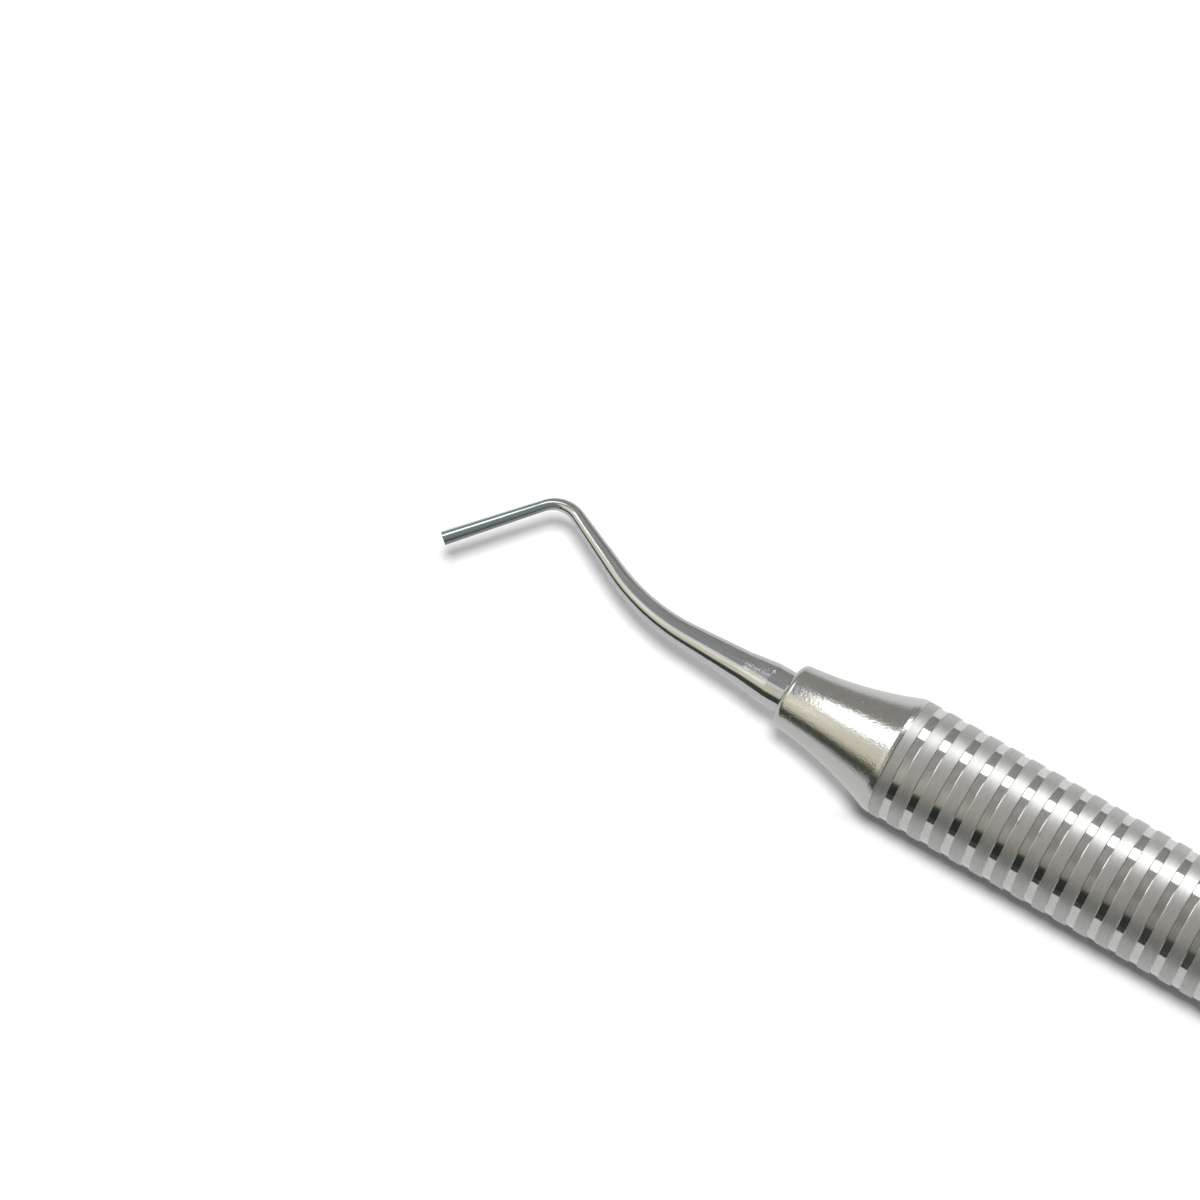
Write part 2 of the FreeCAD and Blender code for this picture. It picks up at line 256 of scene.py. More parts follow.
def add_card(name, centre, size, colour, strength=1):
    """A glowing card along the handle that faces it, seen in mirrors only.

    What the steel throws on from it to the floor is left out too.
    """
    bpy.ops.object.select_all(action="DESELECT")
    bpy.ops.mesh.primitive_plane_add(size=1, location=centre)
    card = bpy.context.object
    card.name = name
    card.scale = (*size, 1)
    card.rotation_euler = (-math.atan2(centre[1], centre[2]), 0, 0)
    glow = bpy.data.materials.new(name)
    glow.use_nodes = True
    tree = glow.node_tree
    tree.nodes.remove(tree.nodes["Principled BSDF"])
    off_floor = add_node(tree, "ShaderNodeLightPath").outputs["Diffuse Depth"]
    power = maths(tree, "MULTIPLY", maths(tree, "LESS_THAN", off_floor, 0.5), strength)
    lamp = add_node(tree, "ShaderNodeEmission", None, {"Color": (*colour, 1), "Strength": power})
    fill(tree, tree.nodes["Material Output"].inputs["Surface"], lamp.outputs["Emission"])
    card.data.materials.append(glow)
    card.visible_camera = False
    card.visible_diffuse = False
    card.visible_shadow = False
    return card


def hang_softbox(name, left, right, lean, distance, width, colour, strength):
    """A card between two places along X, up at an angle from the upright."""
    angle = math.radians(lean)
    centre = ((left + right) / 2, math.sin(angle) * distance, math.cos(angle) * distance)
    add_card(name, centre, (right - left, width), colour, strength)
    print(name, "centre, mm:", [round(value / MM) for value in centre])


SOFTBOXES = [
    # name, left, right, lean, distance, width, colour, strength
    ("strip_softbox", -68 * MM, 60 * MM, 45.4, 120 * MM, 42 * MM, (1, 1, 1), 6.5),
    ("left_softbox", -402 * MM, -215 * MM, 12, 300 * MM, 190 * MM, (1, 0.99, 0.97), 4.0),
    ("nib_softbox", -121 * MM, -98 * MM, 20, 60 * MM, 19 * MM, (0.97, 1, 1), 2.6),
]
for softbox in SOFTBOXES:
    hang_softbox(*softbox)

TABLE_CARDS = [
    # name, where the table ends, colour
    ("back_card", 45 * MM, (0.33, 0.33, 0.31)),
    ("front_card", -62 * MM, (0.05, 0.055, 0.05)),
]
CARD_SIZE = (12, 5.5)
CARD_HEIGHT = 0.1 * MM
for name, table_end, colour in TABLE_CARDS:
    middle = table_end + math.copysign(CARD_SIZE[1] / 2, table_end)
    card = add_card(name, (0, middle, CARD_HEIGHT), CARD_SIZE, colour)
    card.rotation_euler = (0, 0, 0)

# %% [markdown]
# ## A white floor that keeps its shadow
#
# The floor is matt and pale. A glow of its own lifts it to plain white for the
# camera. The steel's mirror image of the floor is darker in the picture, apart
# from the part behind the handle, so mirrors see the whole glow there only. The
# shadow stays visible, because the glow isn't enough to fill it. In a narrow
# strip under the handle's front side, the camera's glow fades out: a painted
# shadow that deepens the lamp's shadow there.

# %% Lay the floor
FLOOR_SIZE = 12
FLOOR_COLOUR = (0.69, 0.69, 0.69, 1)
FLOOR_GLOW = 0.22
MIRRORED_FROM_Y = (4 * MM, 14 * MM)
MIRRORED_FROM_X = (-66 * MM, -48 * MM)
# Painted shadow: the floor's glow for the camera fades out in a narrow strip under the handle's front
# side, out to 5.6 mm from its axis, along the handle's length.
PAINTED_SHADOW_TO_FRONT = (-4.2 * MM, -5.6 * MM)
PAINTED_SHADOW_TO_BACK = (-4 * MM, 0)
PAINTED_SHADOW_TO_SIDES = (49 * MM, 51 * MM)

bpy.ops.object.select_all(action="DESELECT")
bpy.ops.mesh.primitive_plane_add(size=FLOOR_SIZE)
floor = bpy.context.object
floor.name = "floor"
paper = bpy.data.materials.new("white_paper")
paper.use_nodes = True
tree = paper.node_tree
surface = tree.nodes["Principled BSDF"]
surface.inputs["Base Color"].default_value = FLOOR_COLOUR
surface.inputs["Roughness"].default_value = 1
surface.inputs["Specular IOR Level"].default_value = 0
surface.inputs["Emission Color"].default_value = (1, 1, 1, 1)
rays = add_node(tree, "ShaderNodeLightPath").outputs
mirrored = maths(tree, "ADD", rays["Is Glossy Ray"], rays["Is Transmission Ray"])
place = add_node(tree, "ShaderNodeTexCoord").outputs["Object"]
parts = add_node(tree, "ShaderNodeSeparateXYZ", None, {"Vector": place}).outputs
behind = maths(tree, "MULTIPLY", ramp_between(tree, parts["Y"], *MIRRORED_FROM_Y),
               ramp_between(tree, parts["X"], *MIRRORED_FROM_X))
# Painted shadow: 0 in the strip under the handle's front side, 1 elsewhere on the floor.
outside_painted_shadow = maths(tree, "MAXIMUM", ramp_between(tree, parts["Y"], *PAINTED_SHADOW_TO_FRONT),
              ramp_between(tree, parts["Y"], *PAINTED_SHADOW_TO_BACK))
sideways = maths(tree, "ABSOLUTE", parts["X"])
outside_painted_shadow = maths(tree, "MAXIMUM", outside_painted_shadow, ramp_between(tree, sideways, *PAINTED_SHADOW_TO_SIDES))
direct = maths(tree, "MULTIPLY", rays["Is Camera Ray"], outside_painted_shadow)
seen = maths(tree, "MULTIPLY_ADD", mirrored, behind, direct)
fill(tree, surface.inputs["Emission Strength"], maths(tree, "MULTIPLY", seen, FLOOR_GLOW))
floor.data.materials.append(paper)
print("floor:", FLOOR_SIZE, "m across")

# %% [markdown]
# ## Sizes, from the frame and in millimetres
#
# The big sizes are read from the frame, so they can't disagree with it: the
# handle's radius and height from its mount, and the rest from the boxes of the
# pieces. The small ones, such as the grooves, are the ones that the pieces were
# made with.

# %% Read the sizes
tube_low, tube_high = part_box("handle_tube")
collar_low, collar_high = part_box("front_collar")
end_low, end_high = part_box("front_working_end")

handle_mount = frame["record"]["mounts"][0]
AXIS_HEIGHT = handle_mount["pos_m"][2]
HANDLE_RADIUS = handle_mount["dims"]["r_mm"] * MM
TUBE_HALF = tube_high.x
SPIGOT_LENGTH = collar_high.x - tube_low.x
TANG_LENGTH = end_high.x - collar_low.x
COLLAR_FRONT = collar_low.x

HANDLE_WALL = 1.0 * MM
FIT_GAP = 0.02 * MM
SEAM_BREAK = 0.05 * MM
print("handle radius, mm:", round(HANDLE_RADIUS / MM, 3))

# %% [markdown]
# ## Turning a piece
#
# The handle and the collars are lathe work, so they are modelled that way: one
# vertex is drawn along half of the section, and the line is spun round the
# handle's axis. With 256 steps the edge of the turned form looks round even in
# a close view. Edges that a lathe leaves crisp stay crisp, because smooth
# shading stops at any corner above a few degrees.

# %% A lathe
TURN_STEPS = 256
CRISP_ANGLE = math.radians(5)
SAME_PLACE = 0.5e-6


def draw_line(name, points):
    """Draw a half section: each point is a place along the axis and a radius."""
    bpy.ops.object.select_all(action="DESELECT")
    bpy.ops.mesh.primitive_plane_add(size=MM)
    piece = bpy.context.object
    piece.name = name
    piece.data.name = name
    bpy.ops.object.mode_set(mode="EDIT")
    bpy.ops.mesh.select_all(action="SELECT")
    bpy.ops.mesh.merge(type="CENTER")
    bpy.ops.mesh.select_all(action="SELECT")
    along, radius = points[0]
    bpy.ops.transform.translate(value=(along, 0, AXIS_HEIGHT + radius))
    for (along, radius), (next_along, next_radius) in zip(points, points[1:]):
        step = (next_along - along, 0, next_radius - radius)
        bpy.ops.mesh.extrude_vertices_move(TRANSFORM_OT_translate={"value": step})
    return piece


def turn(name, points, steps=TURN_STEPS):
    """Spin a half section round the handle's axis into a closed piece."""
    piece = draw_line(name, points)
    bpy.ops.mesh.select_all(action="SELECT")
    axis_place = (0, 0, AXIS_HEIGHT)
    bpy.ops.mesh.spin(steps=steps, angle=math.tau, center=axis_place, axis=(1, 0, 0))
    bpy.ops.mesh.select_all(action="SELECT")
    bpy.ops.mesh.remove_doubles(threshold=SAME_PLACE)
    bpy.ops.mesh.normals_make_consistent(inside=False)
    bpy.ops.object.mode_set(mode="OBJECT")
    bpy.ops.object.transform_apply(location=True, rotation=True, scale=True)
    bpy.ops.object.shade_smooth_by_angle(angle=CRISP_ANGLE)
    print(name, "has", len(piece.data.polygons), "faces")
    return piece


def hollow_curve(start, finish, radius, steps):
    """Points of an arc between two others that sags towards the axis."""
    start, finish = Vector(start), Vector(finish)
    chord = finish - start
    aside = Vector((chord.y, -chord.x)).normalized()
    sag_centre = (start + finish) / 2 - aside * math.sqrt(radius**2 - chord.length_squared / 4)
    first = start - sag_centre
    sweep = first.angle_signed(finish - sag_centre)
    points = []
    for step in range(steps + 1):
        angle = -sweep * step / steps
        turned = Vector((
            first.x * math.cos(angle) - first.y * math.sin(angle),
            first.x * math.sin(angle) + first.y * math.cos(angle),
        ))
        points.append(tuple(sag_centre + turned))
    return points


# %% [markdown]
# ## The hollow handle and its two grips
#
# A drawn tube is blasted matt and then grooved near both ends, which leaves
# bright bands between satin ones. The grooves are shallow, with steep sides and
# a worn lip on the inner one, and only the line that is spun knows about them:
# a loop writes the corners of each groove, from the end of the tube inwards,
# and the other grip is the same list read backwards.

# %% Turn the handle
GROOVE_COUNT = 16
FIRST_LAND = 0.9 * MM
GROOVE_PITCH = 1.77 * MM
GROOVE_WIDTH = 0.75 * MM
GROOVE_DEPTH = 0.085 * MM
GROOVE_SHOULDER = 0.06 * MM
LIP_WIDTH = 0.05 * MM
LIP_DROP = 0.014 * MM


def grip_line():
    """A grip's outside: distance from the tube's end and radius, inwards."""
    floor_radius = HANDLE_RADIUS - GROOVE_DEPTH
    points = [(0, HANDLE_RADIUS - SEAM_BREAK), (SEAM_BREAK, HANDLE_RADIUS)]
    for number in range(GROOVE_COUNT):
        begins = FIRST_LAND + number * GROOVE_PITCH
        ends = begins + GROOVE_WIDTH
        points += [
            (begins, HANDLE_RADIUS),
            (begins + GROOVE_SHOULDER, floor_radius),
            (ends - GROOVE_SHOULDER - LIP_WIDTH / 2, floor_radius),
            (ends - LIP_WIDTH, HANDLE_RADIUS - LIP_DROP),
            (ends, HANDLE_RADIUS),
        ]
    return points


def handle_line():
    """The tube's whole section: front grip, rear grip, and back by the bore."""
    bore = HANDLE_RADIUS - HANDLE_WALL
    front = [(distance - TUBE_HALF, radius) for distance, radius in grip_line()]
    rear = [(-along, radius) for along, radius in reversed(front)]
    line = front + rear + [(TUBE_HALF, bore), (-TUBE_HALF, bore)]
    return line + line[:1]


handle = turn("satin_handle", handle_line())

# %% [markdown]
# ## The flared collars
#
# A collar is turned from bar: a rounded nose, a long hollow flare, and a rim,
# sloped at first, that meets the tube at a fine seam. Behind the seam a spigot
# goes into the tube, and the nose has a blind bore for the working end. In the
# picture the nose ends a hair behind the frame's, so it is set back a little.
# The rear collar is the front one copied and turned half round.

# %% Turn the collars
NOSE_SETBACK = 0.2 * MM
NECK_RADIUS = 2.63 * MM
NOSE_LENGTH = 0.6 * MM
NOSE_HEIGHT = 0.75 * MM
NOSE_STEPS = 24
FLARE_RADIUS = 31.7 * MM
FLARE_STEPS = 32
RIM_LENGTH = 0.6 * MM
RIM_SLOPE_LENGTH = 0.3 * MM
RIM_SLOPE_DROP = 0.07 * MM
ROOT_RADIUS = 1.68 * MM
BORE_RELIEF = 0.2 * MM


def collar_line():
    """Half of a collar's section, from the bottom of its bore round to it."""
    bore = ROOT_RADIUS + FIT_GAP
    bore_end = COLLAR_FRONT + TANG_LENGTH + BORE_RELIEF
    nose = COLLAR_FRONT + NOSE_SETBACK
    points = [(bore_end, 0), (bore_end, bore), (nose, bore)]
    for step in range(NOSE_STEPS):
        angle = math.pi / 2 * step / NOSE_STEPS
        points.append((
            nose + NOSE_LENGTH * (1 - math.cos(angle)),
            NECK_RADIUS - NOSE_HEIGHT * (1 - math.sin(angle)),
        ))
    seam = -TUBE_HALF
    flare_start = (nose + NOSE_LENGTH, NECK_RADIUS)
    flare_end = (seam - RIM_LENGTH, HANDLE_RADIUS - RIM_SLOPE_DROP)
    points += hollow_curve(flare_start, flare_end, FLARE_RADIUS, FLARE_STEPS)
    spigot = HANDLE_RADIUS - HANDLE_WALL - FIT_GAP
    points += [
        (seam - RIM_LENGTH + RIM_SLOPE_LENGTH, HANDLE_RADIUS),
        (seam - SEAM_BREAK, HANDLE_RADIUS),
        (seam, HANDLE_RADIUS - SEAM_BREAK),
        (seam, spigot),
        (seam + SPIGOT_LENGTH, spigot),
        (seam + SPIGOT_LENGTH, 0),
    ]
    return points


def turn_half_round(piece):
    """Turn a piece half round the upright axis through the handle's middle."""
    bpy.ops.object.select_all(action="DESELECT")
    piece.select_set(True)
    bpy.context.view_layer.objects.active = piece
    bpy.ops.object.mode_set(mode="EDIT")
    bpy.ops.mesh.select_all(action="SELECT")
    bpy.ops.transform.rotate(value=math.pi, orient_axis="Z", center_override=(0, 0, 0))
    bpy.ops.object.mode_set(mode="OBJECT")


front_collar = turn("front_flared_collar", collar_line())
bpy.ops.object.duplicate(linked=False)
rear_collar = bpy.context.object
rear_collar.name = "rear_flared_collar"
rear_collar.data.name = "rear_flared_collar"
turn_half_round(rear_collar)

# %% [markdown]
# ## The working ends, ground straight and bent afterwards
#
# A working end starts as a straight bar that is ground to a taper, and a smith
# bends it twice. The model does the same. The straight bar is turned on the
# lathe above, with its rings close together where it will bend. Then
# everything beyond each ring of a bend is turned a little about that ring's
# centre. An attribute keeps each vertex's place on the straight bar, so that
# the fine lines of the grinding follow the bends in the finish.

# %% The centre line and its bends
ROOT_LENGTH = 1.4 * MM
SHOULDER_LENGTH = 2.4 * MM
ROOT_LEG = 12.6 * MM
MIDDLE_LEG = 10.97 * MM
NIB_LEG = 9.87 * MM
FIRST_TURN = math.radians(25.1)
NIB_TURN = math.radians(49.4)
FIRST_RADIUS = 17.4 * MM
NIB_RADIUS = 2.3 * MM
BEND_STEP = math.radians(2)

first_setback = FIRST_RADIUS * math.tan(FIRST_TURN / 2)
second_setback = NIB_RADIUS * math.tan((FIRST_TURN + NIB_TURN) / 2)
taper_start = ROOT_LENGTH + SHOULDER_LENGTH
first_bend = ROOT_LEG - first_setback
first_bend_end = first_bend + FIRST_RADIUS * FIRST_TURN
second_bend = first_bend_end + MIDDLE_LEG - first_setback - second_setback
second_bend_end = second_bend + NIB_RADIUS * (FIRST_TURN + NIB_TURN)
bar_reach = second_bend_end + NIB_LEG - second_setback
BENDS = [
    (first_bend, FIRST_RADIUS, FIRST_TURN),
    (second_bend, NIB_RADIUS, -(FIRST_TURN + NIB_TURN)),
]
print("straight bar outside its collar, mm:", round(bar_reach / MM, 2))

# %% [markdown]
# The diameters are known at a few places, and between them the taper is
# straight, apart from the first bend, where it eases off along a parabola. The
# rings are set evenly along each stretch.

# %% The taper of the bar
SHOULDER_DIAMETER = 2.7
FRONT_TAPER = (2.05, 1.73, 1.48, 1.1, 0.87, 1.08)
REAR_TAPER = (2.1, 1.82, 1.6, 1.25, 1.1, 1.45)
TANG_CHAMFER = 0.3 * MM
NIB_EDGE = 0.03 * MM
LEG_RINGS = 8


def between(first, second, share):
    """A value part of the way from one to another."""
    return first + (second - first) * share


def stretch(start, end, first, last, rings=LEG_RINGS):
    """Rings of a straight taper, without its last one."""
    shares = [number / rings for number in range(rings)]
    return [(between(start, end, share), between(first, last, share)) for share in shares]


def first_bend_rings(diameters):
    """Rings of the first bend, where the taper eases off along a parabola."""
    start, middle, finish = diameters
    count = math.ceil(FIRST_TURN / BEND_STEP)
    rings = []
    for number in range(count):
        share = number / count
        diameter = start * (1 - share) * (1 - 2 * share)
        diameter += middle * 4 * share * (1 - share)
        diameter += finish * share * (2 * share - 1)
        rings.append((between(first_bend, first_bend_end, share), diameter))
    return rings


def bar_rings(taper):
    """The bar outside its collar: how far out each ring is, and its diameter."""
    bend_rings = math.ceil((FIRST_TURN + NIB_TURN) / BEND_STEP)
    rings = stretch(0, ROOT_LENGTH, 2 * ROOT_RADIUS / MM, 2 * ROOT_RADIUS / MM)
    rings += stretch(ROOT_LENGTH, taper_start, 2 * ROOT_RADIUS / MM, SHOULDER_DIAMETER)
    rings += stretch(taper_start, first_bend, SHOULDER_DIAMETER, taper[0])
    rings += first_bend_rings(taper[:3])
    rings += stretch(first_bend_end, second_bend, taper[2], taper[3])
    rings += stretch(second_bend, second_bend_end, taper[3], taper[4], bend_rings)
    rings += stretch(second_bend_end, bar_reach - NIB_EDGE, taper[4], taper[5], 3 * LEG_RINGS)
    return rings


# %% [markdown]
# The bar is turned straight, tang and all. Then it is bent ring by ring:
# everything from a ring outwards turns by half a step, and everything beyond it
# by the other half, so each ring halves the angle between its neighbours.

# %% Bend the bar
def bar_line(taper):
    """Half of the straight bar's section, from tang to nib."""
    tang = COLLAR_FRONT + TANG_LENGTH
    points = [
        (tang, 0),
        (tang, ROOT_RADIUS - TANG_CHAMFER),
        (tang - TANG_CHAMFER, ROOT_RADIUS),
    ]
    points += [(COLLAR_FRONT - reach, diameter / 2 * MM) for reach, diameter in bar_rings(taper)]
    nib_radius = taper[5] / 2 * MM
    points += [
        (COLLAR_FRONT - bar_reach + NIB_EDGE, nib_radius),
        (COLLAR_FRONT - bar_reach, nib_radius - NIB_EDGE),
        (COLLAR_FRONT - bar_reach, 0),
    ]
    return points


def turn_beyond(piece, reaches, limit, centre, angle):
    """Turn everything on the bar from a limit outwards about an upright axis."""
    chosen = [reach >= limit for reach in reaches]
    bpy.ops.object.mode_set(mode="EDIT")
    bpy.ops.mesh.select_all(action="DESELECT")
    bpy.ops.object.mode_set(mode="OBJECT")
    piece.data.vertices.foreach_set("select", chosen)
    bpy.ops.object.mode_set(mode="EDIT")
    bpy.ops.transform.rotate(value=angle, orient_axis="Z", center_override=centre)
    bpy.ops.object.mode_set(mode="OBJECT")


def bend_bar(piece):
    """Bend the straight bar, a small turn at each ring of each bend."""
    straight = piece.data.attributes.new("straight_place", "FLOAT_VECTOR", "POINT")
    reaches = []
    for vertex, place in zip(piece.data.vertices, straight.data):
        place.vector = vertex.co
        reaches.append(COLLAR_FRONT - vertex.co.x)
    centre = Vector((COLLAR_FRONT, 0, AXIS_HEIGHT))
    heading, done = 0, 0
    for start, radius, turn_angle in BENDS:
        steps = math.ceil(abs(turn_angle) / BEND_STEP)
        piece_turn = turn_angle / steps
        advance = radius * abs(piece_turn)
        for number in range(steps + 1):
            ring = start + number * advance
            centre += Vector((-math.cos(heading), math.sin(heading), 0)) * (ring - done)
            done = ring
            share = piece_turn / 2
            if number > 0:
                turn_beyond(piece, reaches, ring - SAME_PLACE, centre, share)
                heading += share
            if number < steps:
                turn_beyond(piece, reaches, ring + SAME_PLACE, centre, share)
                heading += share
    print(piece.name, "tip at, mm:", [round(value / MM, 2) for value in centre])


def make_working_end(name, taper):
    """A working end in the front collar, ground to a taper and bent."""
    piece = turn(name, bar_line(taper), steps=TURN_STEPS // 2)
    bend_bar(piece)
    return piece


front_end = make_working_end("front_plugger_end", FRONT_TAPER)
rear_end = make_working_end("rear_plugger_end", REAR_TAPER)
turn_half_round(rear_end)

# %% [markdown]
# ## Marks that all the steel shares
#
# Even polished steel isn't a perfect mirror. It has a fine grain, hairlines
# that run with the last pass of the wheel, and a few tiny pits. One node group
# makes all three from a place in space, and each finish asks for its own
# amounts. The hairlines come from a noise that is stretched along one way,
# which is the way that the wheel ran. Besides the height of the marks, the
# group gives their shade, which makes the metal a little darker and duller.

# %% The shared group of marks
GRAIN_SCALE = 5500
HAIRLINE_SCALE = 9000
HAIRLINE_EDGE = (0.35, 0.65)
PIT_SCALE = 2600
PIT_EDGE = (0.10, 0.04)
DARK_METAL = (0.02, 0.02, 0.02, 1)


def new_group(name, inputs, outputs):
    """Start a node group: inputs and outputs are names with their kinds."""
    group = bpy.data.node_groups.new(name, "ShaderNodeTree")
    for label, kind, value in inputs:
        socket = group.interface.new_socket(label, in_out="INPUT", socket_type=kind)
        if value is not None:
            socket.default_value = value
    for label, kind in outputs:
        group.interface.new_socket(label, in_out="OUTPUT", socket_type=kind)
    return group


def make_marks_group():
    """Grain, hairlines and pits in metal, worked out from a place in space."""
    group = new_group(
        "steel_marks",
        [
            ("Place", "NodeSocketVector", None),
            ("Stretch", "NodeSocketVector", None),
            ("Grain", "NodeSocketFloat", 0.5),
            ("Hairlines", "NodeSocketFloat", 0.5),
            ("Pits", "NodeSocketFloat", 0.5),
        ],
        [("Height", "NodeSocketFloat"), ("Shade", "NodeSocketFloat")],
    )
    source = add_node(group, "NodeGroupInput").outputs
    grain = noise(group, source["Place"], GRAIN_SCALE, detail=4)
    grain = maths(group, "MULTIPLY", grain, source["Grain"])
    along = add_node(group, "ShaderNodeVectorMath", {"operation": "MULTIPLY"}, {
        0: source["Place"], 1: source["Stretch"]}).outputs["Vector"]
    lines = ramp_between(group, noise(group, along, HAIRLINE_SCALE, detail=3), *HAIRLINE_EDGE)
    lines = maths(group, "MULTIPLY", lines, source["Hairlines"])
    cells = add_node(group, "ShaderNodeTexVoronoi", None, {
        "Vector": source["Place"], "Scale": PIT_SCALE}).outputs["Distance"]
    pits = maths(group, "MULTIPLY", ramp_between(group, cells, *PIT_EDGE), source["Pits"])
    shade = maths(group, "ADD", lines, pits)
    target = add_node(group, "NodeGroupOutput")
    fill(group, target.inputs["Height"], maths(group, "SUBTRACT", grain, shade))
    fill(group, target.inputs["Shade"], shade)
    return group


marks = make_marks_group()


def add_marks(tree, place, stretch, grain, hairlines, pits):
    """Place the shared group in a finish, with that finish's own amounts."""
    node = tree.nodes.new("ShaderNodeGroup")
    node.node_tree = marks
    values = {
        "Place": place, "Stretch": stretch, "Grain": grain, "Hairlines": hairlines, "Pits": pits,
    }
    for name, value in values.items():
        fill(tree, node.inputs[name], value)
    return node.outputs


def shaded(tree, colour, shade, amount):
    """A colour that gets darker with the shade of the marks."""
    share = maths(tree, "MULTIPLY", shade, amount)
    return blend_colours(tree, share, colour, DARK_METAL)


def start_finish(name):
    """A new metal: its material, its node tree and its shader."""
    finish = bpy.data.materials.new(name)
    finish.use_nodes = True
    shader = finish.node_tree.nodes["Principled BSDF"]
    shader.inputs["Metallic"].default_value = 1
    return finish, finish.node_tree, shader


def finish_height(tree, shader, height, distance):
    """Let a height, in steps of the distance given, tilt the surface."""
    inputs = {"Height": height, "Distance": distance, "Strength": 1}
    bump = add_node(tree, "ShaderNodeBump", None, inputs)
    fill(tree, shader.inputs["Normal"], bump.outputs["Normal"])


print("groups:", [group.name for group in bpy.data.node_groups])

# %% [markdown]
# ## Satin lands and bright grooves
#
# The blasting dulls all of the tube, and the grooves are cut through it. So
# the finish asks one question: how far is this point from the handle's axis?
# At the full radius it is satin, and below it the cut metal is bright. Faint
# lines run round the tube, and two pale brown specks lie on the satin.

# %% The handle's finish
LAND_COLOUR = (0.50, 0.495, 0.485, 1)
GROOVE_COLOUR = (0.60, 0.595, 0.58, 1)
LAND_ROUGHNESS = 0.45
GROOVE_ROUGHNESS = 0.10
LAND_EDGE = (0.3, 0.1)
HANDLE_SHADE = 0.13
BLAST_SCALE = 16000
BLAST_ROUGHNESS = 0.06
STAIN_COLOUR = (0.34, 0.25, 0.17, 1)
STAINS = [Vector((-37.5, -0.96, 9.4)) * MM, Vector((-35.7, -0.94, 9.4)) * MM]
STAIN_EDGE = (0.28 * MM, 0.056 * MM)
STAIN_SHARE = 0.5


def stain_share(tree, place):
    """How stained a place is: most at the middle of the nearest speck."""
    share = 0
    for spot in STAINS:
        near = ramp_between(tree, distance_to(tree, place, spot), *STAIN_EDGE)
        share = maths(tree, "MAXIMUM", near, share)
    return maths(tree, "MULTIPLY", share, STAIN_SHARE)


def make_handle_finish():
    """Satin where the metal stands proud, and polished in the grooves."""
    finish, tree, shader = start_finish("satin_and_bright_steel")
    place = add_node(tree, "ShaderNodeTexCoord").outputs["Object"]
    parts = add_node(tree, "ShaderNodeSeparateXYZ", None, {"Vector": place}).outputs
    upwards = maths(tree, "SUBTRACT", parts["Z"], AXIS_HEIGHT)
    out_squared = maths(tree, "MULTIPLY_ADD", upwards, upwards, maths(tree, "POWER", parts["Y"], 2))
    out = maths(tree, "SQRT", out_squared)
    land = ramp_between(tree, out, *(HANDLE_RADIUS - part * GROOVE_DEPTH for part in LAND_EDGE))
    blast = noise(tree, place, BLAST_SCALE, detail=3)
    steel = add_marks(tree, place, stretch=(1, 0.12, 0.12), grain=0.3, hairlines=1, pits=0.4)
    colour = blend_colours(tree, land, GROOVE_COLOUR, LAND_COLOUR)
    colour = blend_colours(tree, stain_share(tree, place), colour, STAIN_COLOUR)
    fill(tree, shader.inputs["Base Color"], shaded(tree, colour, steel["Shade"], HANDLE_SHADE))
    rough = maths(tree, "MULTIPLY_ADD", land, LAND_ROUGHNESS - GROOVE_ROUGHNESS, GROOVE_ROUGHNESS)
    rough = maths(tree, "SUBTRACT", rough, BLAST_ROUGHNESS / 2)
    rough = maths(tree, "MULTIPLY_ADD", blast, BLAST_ROUGHNESS, rough)
    fill(tree, shader.inputs["Roughness"], rough)
    height = maths(tree, "MULTIPLY", maths(tree, "ADD", blast, steel["Height"]), land)
    finish_height(tree, shader, height, distance=0.002 * MM)
    return finish


handle_finish = make_handle_finish()
handle.data.materials.append(handle_finish)
print("handle finish:", handle_finish.name)

# %% [markdown]
# ## Polished collars
#
# The collars were only buffed, which leaves a mirror with a fine grain. The
# grain breaks up the edge of everything bright that the collar mirrors.

# %% The collars' finish
COLLAR_COLOUR = (0.545, 0.54, 0.52, 1)
COLLAR_ROUGHNESS = 0.13
COLLAR_DULLING = 0.15
COLLAR_SHADE = 0.1


def make_collar_finish():
    """Buffed steel with a fine grain and a few pits."""
    finish, tree, shader = start_finish("buffed_steel")
    place = add_node(tree, "ShaderNodeTexCoord").outputs["Object"]
    steel = add_marks(tree, place, stretch=(0.15, 1, 1), grain=2, hairlines=0.5, pits=1.2)
    fill(tree, shader.inputs["Base Color"], shaded(tree, COLLAR_COLOUR, steel["Shade"], COLLAR_SHADE))
    rough = maths(tree, "MULTIPLY_ADD", steel["Shade"], COLLAR_DULLING, COLLAR_ROUGHNESS)
    fill(tree, shader.inputs["Roughness"], rough)
    finish_height(tree, shader, steel["Height"], distance=0.007 * MM)
    return finish


collar_finish = make_collar_finish()
front_collar.data.materials.append(collar_finish)
rear_collar.data.materials.append(collar_finish)
print("collar finish:", collar_finish.name)

# %% [markdown]
# ## Ground and polished working ends
#
# The working ends are polished along their length after grinding, so their
# hairlines run with the bar, round both bends. The nib has a bluish tint, and
# one side of it is painted darker: a painted shade that stands in for a dark
# reflection there. Where the cone behind the root begins, the grinding left a
# few bright flecks.

# %% The working ends' finish
END_COLOUR = (0.56, 0.57, 0.57, 1)
NIB_COLOUR = (0.51, 0.59, 0.615, 1)
END_ROUGHNESS = 0.07
END_DULLING = 0.04
END_SHADE = 0.1
NIB_FADE = 1.2 * MM
# Painted shade: the dark grey that one side of the nib is blended to, and where that side begins.
NIB_PAINTED_SHADE_COLOUR = (0.24, 0.255, 0.26, 1)
NIB_PAINTED_SHADE_EDGE = (-0.25 * MM, -0.40 * MM)
FLECK_SCALE = 12000
FLECK_EDGE = (0.6, 0.8)
FLECK_HEIGHT = 9
FLECKS_BEGIN = (1.0 * MM, 1.6 * MM)
FLECKS_END = (4.5 * MM, 2.2 * MM)
FLECKS_SIDE = (0, 0.2 * MM)


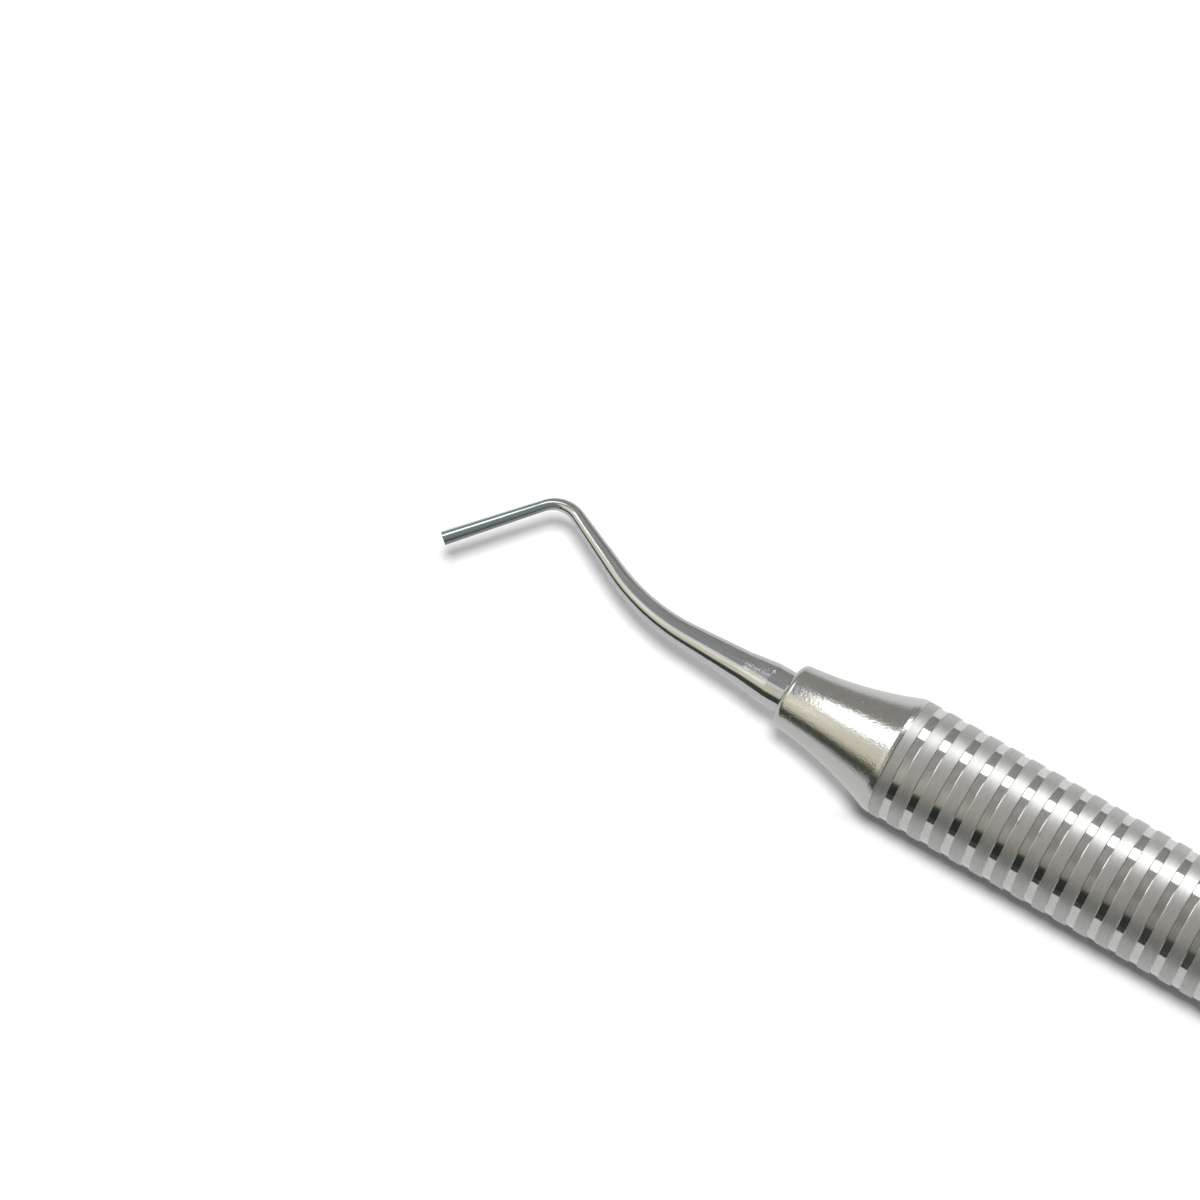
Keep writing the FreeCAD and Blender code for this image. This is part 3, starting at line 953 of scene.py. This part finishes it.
def crease_flecks(tree, place, reach, aside):
    """Bright flecks where the cone behind the root begins, on its upper side."""
    where = maths(tree, "MULTIPLY", ramp_between(tree, reach, *FLECKS_BEGIN),
                  ramp_between(tree, reach, *FLECKS_END))
    where = maths(tree, "MULTIPLY", where, ramp_between(tree, aside, *FLECKS_SIDE))
    flecks = ramp_between(tree, noise(tree, place, FLECK_SCALE, detail=1), *FLECK_EDGE)
    return maths(tree, "MULTIPLY", where, flecks)


def make_end_finish():
    """Polished steel with hairlines that follow the bent bar."""
    finish, tree, shader = start_finish("ground_and_polished_steel")
    settings = {"attribute_name": "straight_place"}
    place = add_node(tree, "ShaderNodeAttribute", settings).outputs["Vector"]
    steel = add_marks(tree, place, stretch=(0.02, 1, 1), grain=0.2, hairlines=1, pits=0.3)
    parts = add_node(tree, "ShaderNodeSeparateXYZ", None, {"Vector": place}).outputs
    reach = maths(tree, "SUBTRACT", COLLAR_FRONT, parts["X"])
    nib = ramp_between(tree, reach, second_bend_end - NIB_FADE, second_bend_end)
    # Painted shade: 1 on the nib's darkened side, 0 elsewhere.
    side = ramp_between(tree, parts["Y"], *NIB_PAINTED_SHADE_EDGE)
    colour = blend_colours(tree, nib, END_COLOUR, NIB_COLOUR)
    colour = blend_colours(tree, maths(tree, "MULTIPLY", nib, side), colour, NIB_PAINTED_SHADE_COLOUR)
    fill(tree, shader.inputs["Base Color"], shaded(tree, colour, steel["Shade"], END_SHADE))
    rough = maths(tree, "MULTIPLY_ADD", steel["Shade"], END_DULLING, END_ROUGHNESS)
    fill(tree, shader.inputs["Roughness"], rough)
    flecks = crease_flecks(tree, place, reach, parts["Y"])
    height = maths(tree, "MULTIPLY_ADD", flecks, FLECK_HEIGHT, steel["Height"])
    finish_height(tree, shader, height, distance=0.001 * MM)
    return finish


end_finish = make_end_finish()
front_end.data.materials.append(end_finish)
rear_end.data.materials.append(end_finish)
print("working end finish:", end_finish.name)

# %% [markdown]
# ## Each mesh takes the place of its frame piece
#
# A piece of the frame that has been remade is hidden, and the new mesh rides
# on the same body.

# %% Put the pieces in place
DRESSED = [
    (handle, "handle_tube", "handle_steel"),
    (front_collar, "front_collar", "polished_steel"),
    (rear_collar, "rear_collar", "polished_steel"),
    (front_end, "front_working_end", "polished_steel"),
    (rear_end, "rear_working_end", "polished_steel"),
]
for piece, node, steel_slot in DRESSED:
    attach(piece, "root")
    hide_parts(node)
    low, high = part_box(node)
    across = [vertex.co.x for vertex in piece.data.vertices]
    print(piece.name, "x from", round(min(across) / MM, 2), "to", round(max(across) / MM, 2),
          "and its node's", round(low.x / MM, 2), "to", round(high.x / MM, 2))
